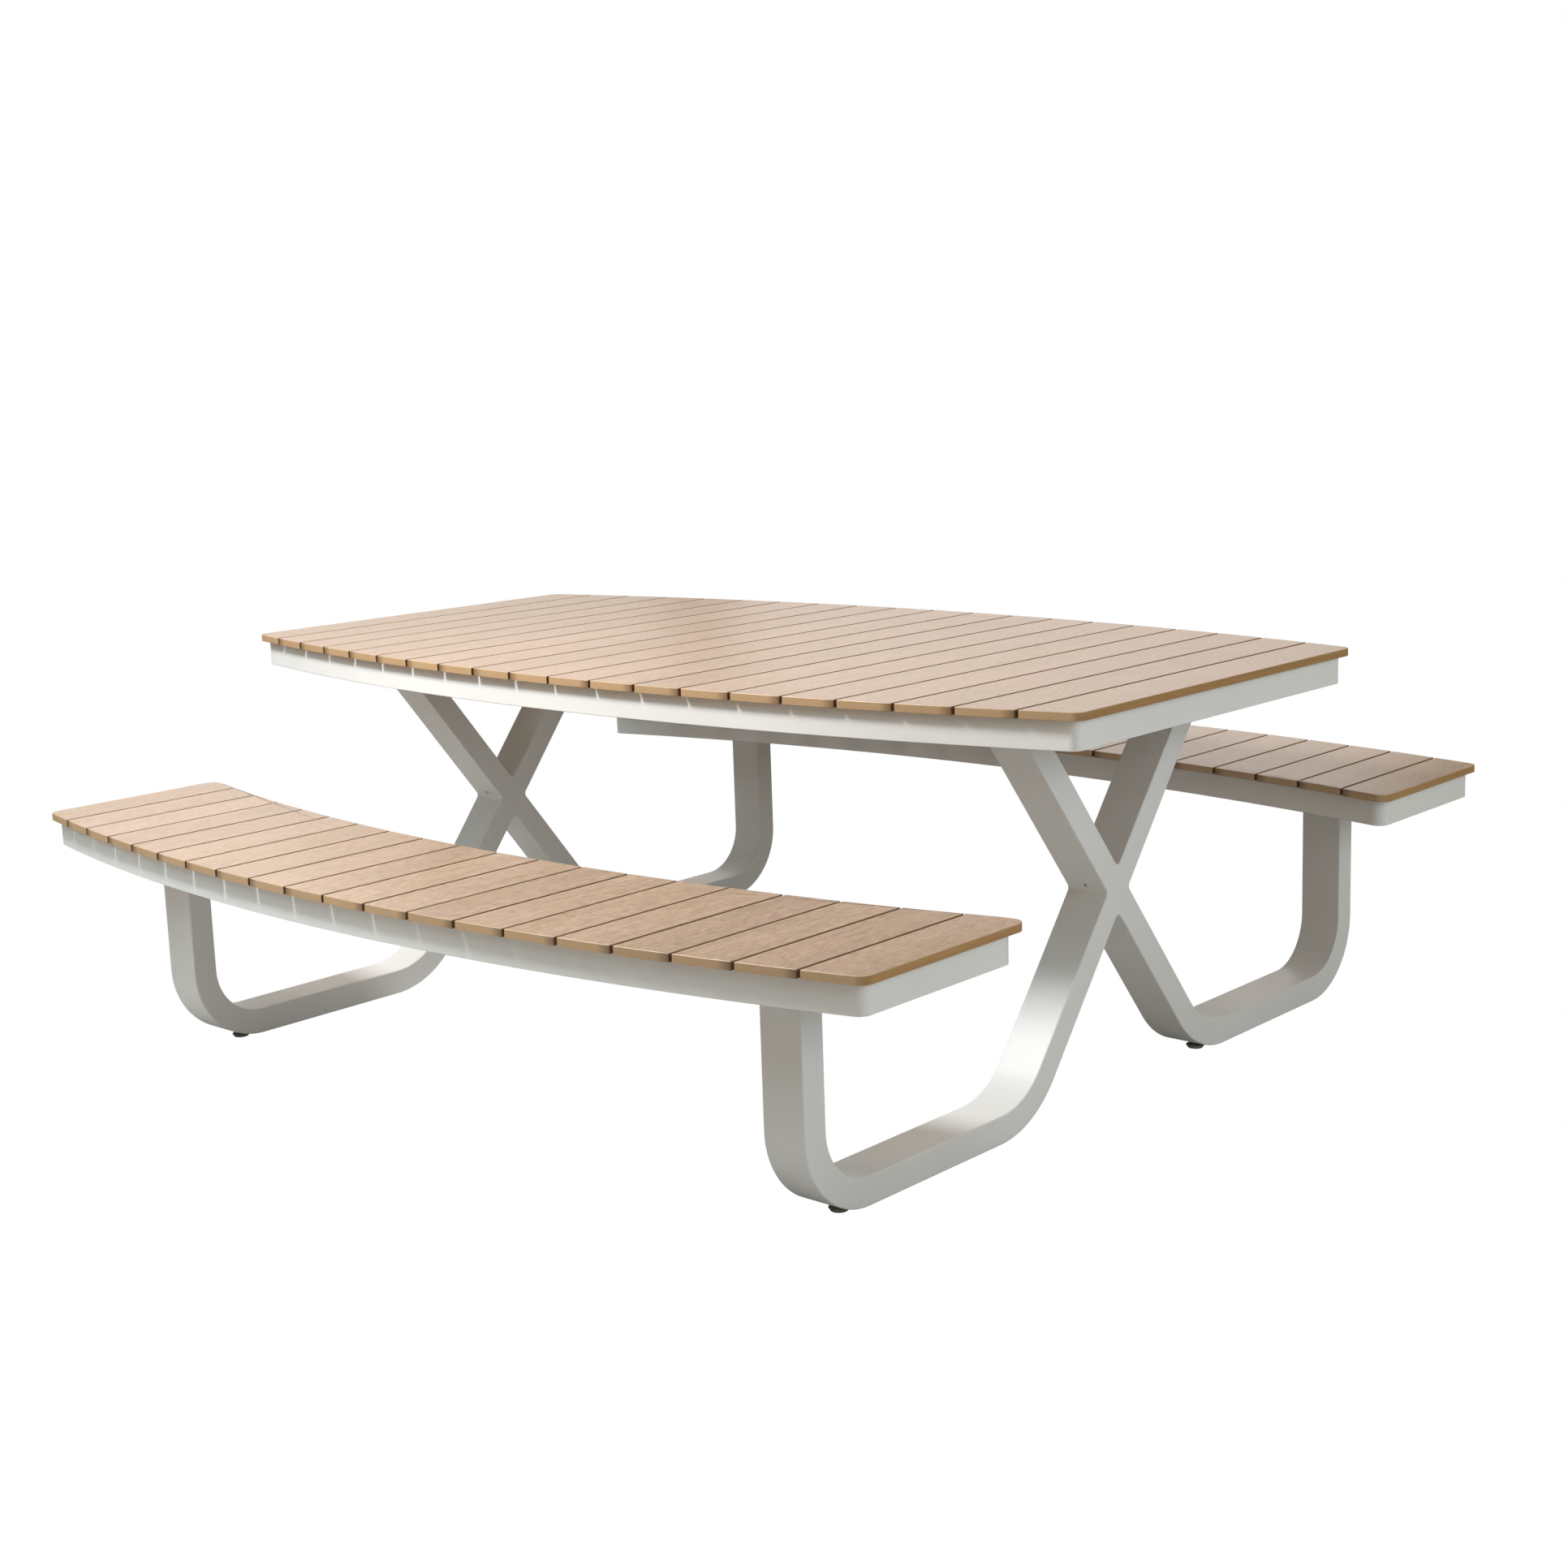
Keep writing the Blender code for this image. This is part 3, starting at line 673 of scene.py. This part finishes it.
def round_cutter(radius, low, high, steps=24):
    """A cylinder between two points, as a helper that is removed after use."""
    axis = (high - low).normalized()
    across = axis.orthogonal().normalized()
    other = axis.cross(across)
    mesh = bmesh.new()
    rings = []
    for end in (low, high):
        turns = [2 * math.pi * i / steps for i in range(steps)]
        rings.append([end + (across * math.cos(a) + other * math.sin(a)) * radius for a in turns])
    bridge(mesh, rings)
    bmesh.ops.recalc_face_normals(mesh, faces=mesh.faces)
    data = bpy.data.meshes.new("cutter")
    mesh.to_mesh(data)
    mesh.free()
    made = bpy.data.objects.new("cutter", data)
    bpy.context.scene.collection.objects.link(made)
    return made


# (radius, height) of a button head with a hexagon socket, and of the washer under it.
BUTTON_HEAD = [
    (0.0052, 0.0),
    (0.0055, 0.0004),
    (0.0054, 0.0010),
    (0.0048, 0.0020),
    (0.0038, 0.0028),
    (0.0027, 0.0032),
    (0.0021, 0.0033),
    (0.0020, 0.0031),
    (0.0019, 0.0012),
]
WASHER_THICKNESS = 0.0010
WASHER = [
    (0.0030, 0.0),
    (0.0068, 0.0),
    (0.0070, 0.0002),
    (0.0070, 0.0008),
    (0.0068, WASHER_THICKNESS),
    (0.0030, WASHER_THICKNESS),
]
PLATE_CORNER_RADIUS = 0.005
PLATE_RIM_RADIUS = 0.0008
BOLT_SPREAD = 0.026
BOLT_FROM_PLATE_END = 0.009
TUBE_INTO_PLATE = 0.004


def add_plate(name, frame_x, half_x, centre_y, half_y, low):
    """A welded plate on the end of a tube, with four button-head bolts into the crossbar above it."""
    mesh = bmesh.new()
    low_corner = (frame_x - half_x, centre_y - half_y)
    high_corner = (frame_x + half_x, centre_y + half_y)
    outline = rounded_box(low_corner, high_corner, PLATE_CORNER_RADIUS)
    prism(mesh, outline, low, low + PLATE_THICKNESS, PLATE_RIM_RADIUS, PLATE_RIM_RADIUS)
    new_object(name, mesh, FRAME_COAT)
    mesh = bmesh.new()
    for across in (-BOLT_SPREAD, BOLT_SPREAD):
        for lengthways in (-half_y + BOLT_FROM_PLATE_END, half_y - BOLT_FROM_PLATE_END):
            spot = Vector((frame_x + across, centre_y + lengthways, low))
            lathe(mesh, WASHER, spot, 24, downward=True)
            under = spot - Vector((0, 0, WASHER_THICKNESS))
            lathe(mesh, BUTTON_HEAD, under, 24, downward=True, hexagons=(6, 7, 8))
    new_object(name.replace("plate", "bolts"), mesh, STEEL)


def add_leg_frame(word):
    parts = [f"{word}_frame_{part}" for part in ("main_tube", "upper_strut", "back_loop")]
    low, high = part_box(parts[0])
    frame_x, half_x = (low.x + high.x) / 2, (high.x - low.x) / 2
    table_low = high.z - PLATE_THICKNESS
    bench_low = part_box(parts[2])[1].z - PLATE_THICKNESS
    outline = frame_outline(table_low + TUBE_INTO_PLATE, bench_low + TUBE_INTO_PLATE)
    mesh = bmesh.new()
    rim = TUBE_RIM_RADIUS
    prism(mesh, outline, -half_x, half_x, rim, rim, lambda p, h: (frame_x + h, p.x, p.y), 4)
    tube = new_object(f"{word}_leg_frame", mesh, FRAME_COAT)
    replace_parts(tube, *parts)

    cutters = []
    for foot in FEET:
        if foot.startswith(word):
            foot_low, foot_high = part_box(foot)
            spot = (foot_low + foot_high) / 2
            bore_low = Vector((spot.x, spot.y, 0.0))
            bore_high = Vector((spot.x, spot.y, BORE_TOP_Z))
            cutters.append(round_cutter(BORE_RADIUS, bore_low, bore_high))
    facing = Vector((-UP_FRONT.y, UP_FRONT.x))
    vent = CROSSING + UP_FRONT * VENT_FROM_CROSSING + facing * HALF_DEPTH
    outward = Vector((0, facing.x, facing.y))
    vent = Vector((frame_x, vent.x, vent.y))
    reach = outward * VENT_REACH / 2
    cutters.append(round_cutter(VENT_RADIUS, vent + reach, vent - reach, 20))
    cavity = (vent - outward * CAVITY_FROM_FACE, vent - outward * CAVITY_TO)
    cutters.append(round_cutter(CAVITY_RADIUS, *cavity, 20))
    cut(tube, cutters)

    saw = HALF_DEPTH / math.sin(ARM_ANGLE)
    top_y = (table_low - CROSSING.y) / math.tan(ARM_ANGLE)
    for side, place in ((-1, "front"), (1, "back")):
        name = f"{word}_table_plate_{place}"
        add_plate(name, frame_x, half_x, side * top_y, saw + PLATE_OVERHANG, table_low)
        name = f"{word}_bench_plate_{place}"
        add_plate(name, frame_x, half_x, side * LEG_Y, HALF_DEPTH + PLATE_OVERHANG, bench_low)


# ---- Feet ----------------------------------------------------------------------------------------

PAD_PROFILE = [
    (0.0132, 0.0000),
    (0.0140, 0.0002),
    (0.0146, 0.0008),
    (0.0150, 0.0016),
    (0.0168, 0.0042),
    (0.0174, 0.0049),
    (0.0175, 0.0053),
    (0.0173, 0.0059),
    (0.0166, 0.0062),
    (0.0090, 0.0062),
]
PAD_STEPS = 72
NOTCH_COUNT = 12
NOTCH_DEPTH = 0.0005
THREAD_PITCH = 0.0015
THREAD_DEPTH = 0.0008
THREAD_LOW_Z = 0.0061
THREAD_TIP = 0.0008
THREAD_TIP_TAPER = 0.0004
THREAD_SIDES = 20
THREAD_LEVELS = 96
INSERT_SIDES = 32
INSERT_TOP_Z = 0.0079
INSERT_PROFILE = [
    (0.0057, 0.0),
    (0.0088, 0.0),
    (0.0091, 0.0002),
    (0.0091, 0.0004),
    (0.0088, 0.0006),
    (0.0057, 0.0006),
]


def at(centre, radius, angle, height):
    """A point round a vertical axis."""
    return centre + Vector((radius * math.cos(angle), radius * math.sin(angle), height))


def add_foot(node):
    """A levelling foot: a moulded pad with finger notches, and a threaded steel stem up into the tube."""
    low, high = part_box(node)
    centre = Vector(((low.x + high.x) / 2, (low.y + high.y) / 2, 0))
    mesh = bmesh.new()
    rings = []
    for index, (radius, height) in enumerate(PAD_PROFILE):
        ring = []
        for i in range(PAD_STEPS):
            angle = 2 * math.pi * i / PAD_STEPS
            notch = 0.0
            if 3 <= index <= 8:
                notch = NOTCH_DEPTH * max(0.0, math.cos(angle * NOTCH_COUNT)) ** 4
            ring.append(at(centre, radius - notch, angle, height))
        rings.append(ring)
    bridge(mesh, rings)
    pad = new_object(f"{node}_pad", mesh, PLASTIC, node)
    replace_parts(pad, node)

    mesh = bmesh.new()
    angles = [2 * math.pi * i / THREAD_SIDES for i in range(THREAD_SIDES)]
    rings = []
    for height in spread(THREAD_LOW_Z, high.z - THREAD_TIP, THREAD_LEVELS):
        ring = []
        for i, angle in enumerate(angles):
            share = (height / THREAD_PITCH - i / THREAD_SIDES) % 1.0
            ring.append(at(centre, STEM_RADIUS - THREAD_DEPTH * abs(2 * share - 1), angle, height))
        rings.append(ring)
    reach = STEM_RADIUS - THREAD_DEPTH - THREAD_TIP_TAPER
    rings.append([at(centre, reach, angle, high.z) for angle in angles])
    bridge(mesh, rings)
    stem = new_object(f"{node}_stem", mesh, STEEL, node)
    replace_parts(stem, node)

    mesh = bmesh.new()
    angles = [2 * math.pi * i / INSERT_SIDES for i in range(INSERT_SIDES)]
    rings = []
    for radius, height in INSERT_PROFILE:
        rings.append([at(centre, radius, angle, INSERT_TOP_Z - height) for angle in angles])
    bridge(mesh, rings, cyclic=True)
    new_object(node.replace("_foot", "_insert"), mesh, STEEL)


# ---- Stage, camera and light ---------------------------------------------------------------------

# The camera's place in metres, its angles in degrees, and its focal length as a share of the frame's width.
CAMERA_PLACE = (3.012221, -3.284527, 1.323467)
CAMERA_YAW_PITCH_ROLL = (-42.020, -10.753, -1.895)
FOCAL_SHARE = 2823.424 / 1932
SENSOR_WIDTH = 36.0


def add_camera():
    yaw, pitch, roll = (math.radians(a) for a in CAMERA_YAW_PITCH_ROLL)
    forward = Vector((math.sin(yaw) * math.cos(pitch), math.cos(yaw) * math.cos(pitch), math.sin(pitch)))
    level = Vector((math.cos(yaw), -math.sin(yaw), 0))
    upright = level.cross(forward)
    right = level * math.cos(roll) + upright * math.sin(roll)
    up = -level * math.sin(roll) + upright * math.cos(roll)
    data = bpy.data.cameras.new("camera")
    data.sensor_width = SENSOR_WIDTH
    data.lens = FOCAL_SHARE * SENSOR_WIDTH
    data.clip_start, data.clip_end = 0.05, 200
    camera = bpy.data.objects.new("camera", data)
    turn = Matrix((right, up, -forward)).transposed().to_4x4()
    camera.matrix_world = Matrix.Translation(CAMERA_PLACE) @ turn
    bpy.context.scene.collection.objects.link(camera)
    bpy.context.scene.camera = camera


FLOOR_RADII = (0.5, 2.0, 6.0, 14.0, 30.0)
FLOOR_SIDES = 64


def add_floor():
    """A pale studio floor, level with the feet. It lights the underside of the table, and the camera sees
    through it to the white backdrop, so the table can be looked at from below too."""
    mesh = bmesh.new()
    rings = []
    angles = [2 * math.pi * i / FLOOR_SIDES for i in range(FLOOR_SIDES)]
    for radius in FLOOR_RADII:
        rings.append([at(Vector(), radius, angle, 0) for angle in angles])
    made = bridge(mesh, rings, closed_ends=False)
    mesh.faces.new(made[0])
    data = bpy.data.meshes.new("studio_floor")
    bmesh.ops.recalc_face_normals(mesh, faces=mesh.faces)
    mesh.to_mesh(data)
    mesh.free()
    floor = bpy.data.objects.new("studio_floor", data)
    n = Nodes("studio_floor_paint")
    clouds = n.noise((1.3, 1.3, 1.3), 2.0)
    tint = n.mix(clouds, (0.515, 0.510, 0.500), (0.545, 0.540, 0.530))
    n.finish(Base_Color=tint, Roughness=0.8)
    light_path = n.add("ShaderNodeLightPath")
    paint = n.add("ShaderNodeMixShader", {0: light_path.outputs["Is Camera Ray"]})
    n.tree.links.new(n.shader.outputs[0], paint.inputs[1])
    n.tree.links.new(n.add("ShaderNodeBsdfTransparent").outputs[0], paint.inputs[2])
    n.tree.links.new(paint.outputs[0], n.tree.nodes["Material Output"].inputs[0])
    data.materials.append(n.material)
    bpy.context.scene.collection.objects.link(floor)


def add_world():
    world = bpy.data.worlds.new("studio")
    bpy.context.scene.world = world
    world.use_nodes = True
    tree = world.node_tree
    backdrop = tree.nodes["Background"]
    backdrop.inputs["Color"].default_value = (1, 1, 1, 1)
    backdrop.inputs["Strength"].default_value = 1.0
    ambient = tree.nodes.new("ShaderNodeBackground")
    ambient.inputs["Color"].default_value = (1.0, 0.75, 0.45, 1)
    ambient.inputs["Strength"].default_value = 0.20
    path = tree.nodes.new("ShaderNodeLightPath")
    mix = tree.nodes.new("ShaderNodeMixShader")
    tree.links.new(path.outputs["Is Camera Ray"], mix.inputs[0])
    tree.links.new(ambient.outputs[0], mix.inputs[1])
    tree.links.new(backdrop.outputs[0], mix.inputs[2])
    tree.links.new(mix.outputs[0], tree.nodes["World Output"].inputs[0])


COOL = (0.66, 0.87, 1.0)
NEUTRAL = (1.0, 1.0, 1.0)
WARM = (1.0, 0.87, 0.76)

# name: azimuth round the object from -Y towards +X, elevation, distance, size of the square, watts, colour
LIGHTS = {
    "over_front": (346, 49, 2.8, 0.5, 76.0, NEUTRAL),
    "front_left": (330, 40, 5.5, 2.4, 74.0, COOL),
    "right_front": (72, 22, 3.6, 1.6, 10.0, NEUTRAL),
    "right": (90, 15, 6.0, 2.4, 52.0, COOL),
    "right_back": (120, 15, 6.0, 2.4, 36.0, NEUTRAL),
    "over_left": (300, 66, 5.0, 2.2, 54.0, WARM),
    "over_right": (120, 66, 5.0, 2.2, 20.0, WARM),
    "backdrop_left": (240, 13, 7.0, 3.4, 46.0, NEUTRAL),
    "backdrop_right": (210, 13, 7.0, 3.4, 54.0, NEUTRAL),
}
LIGHTS_AIM = Vector((0, 0, 0.45))


def add_lights():
    for name, (azimuth, elevation, distance, size, watts, colour) in LIGHTS.items():
        data = bpy.data.lights.new(name, "AREA")
        data.shape = "SQUARE"
        data.size = size
        data.energy = watts
        data.color = colour
        lamp = bpy.data.objects.new(name, data)
        a, e = math.radians(azimuth), math.radians(elevation)
        way = Vector((math.sin(a) * math.cos(e), -math.cos(a) * math.cos(e), math.sin(e)))
        lamp.location = LIGHTS_AIM + way * distance
        lamp.rotation_mode = "QUATERNION"
        lamp.rotation_quaternion = way.to_track_quat("Z", "Y")
        bpy.context.scene.collection.objects.link(lamp)


add_decks()
add_carcasses()
add_bench_rails()
add_crossbars()
for frame_word in ("left", "right"):
    add_leg_frame(frame_word)
for foot_node in FEET:
    add_foot(foot_node)
add_camera()
add_floor()
add_world()
add_lights()
bpy.context.scene.view_settings.view_transform = "Standard"
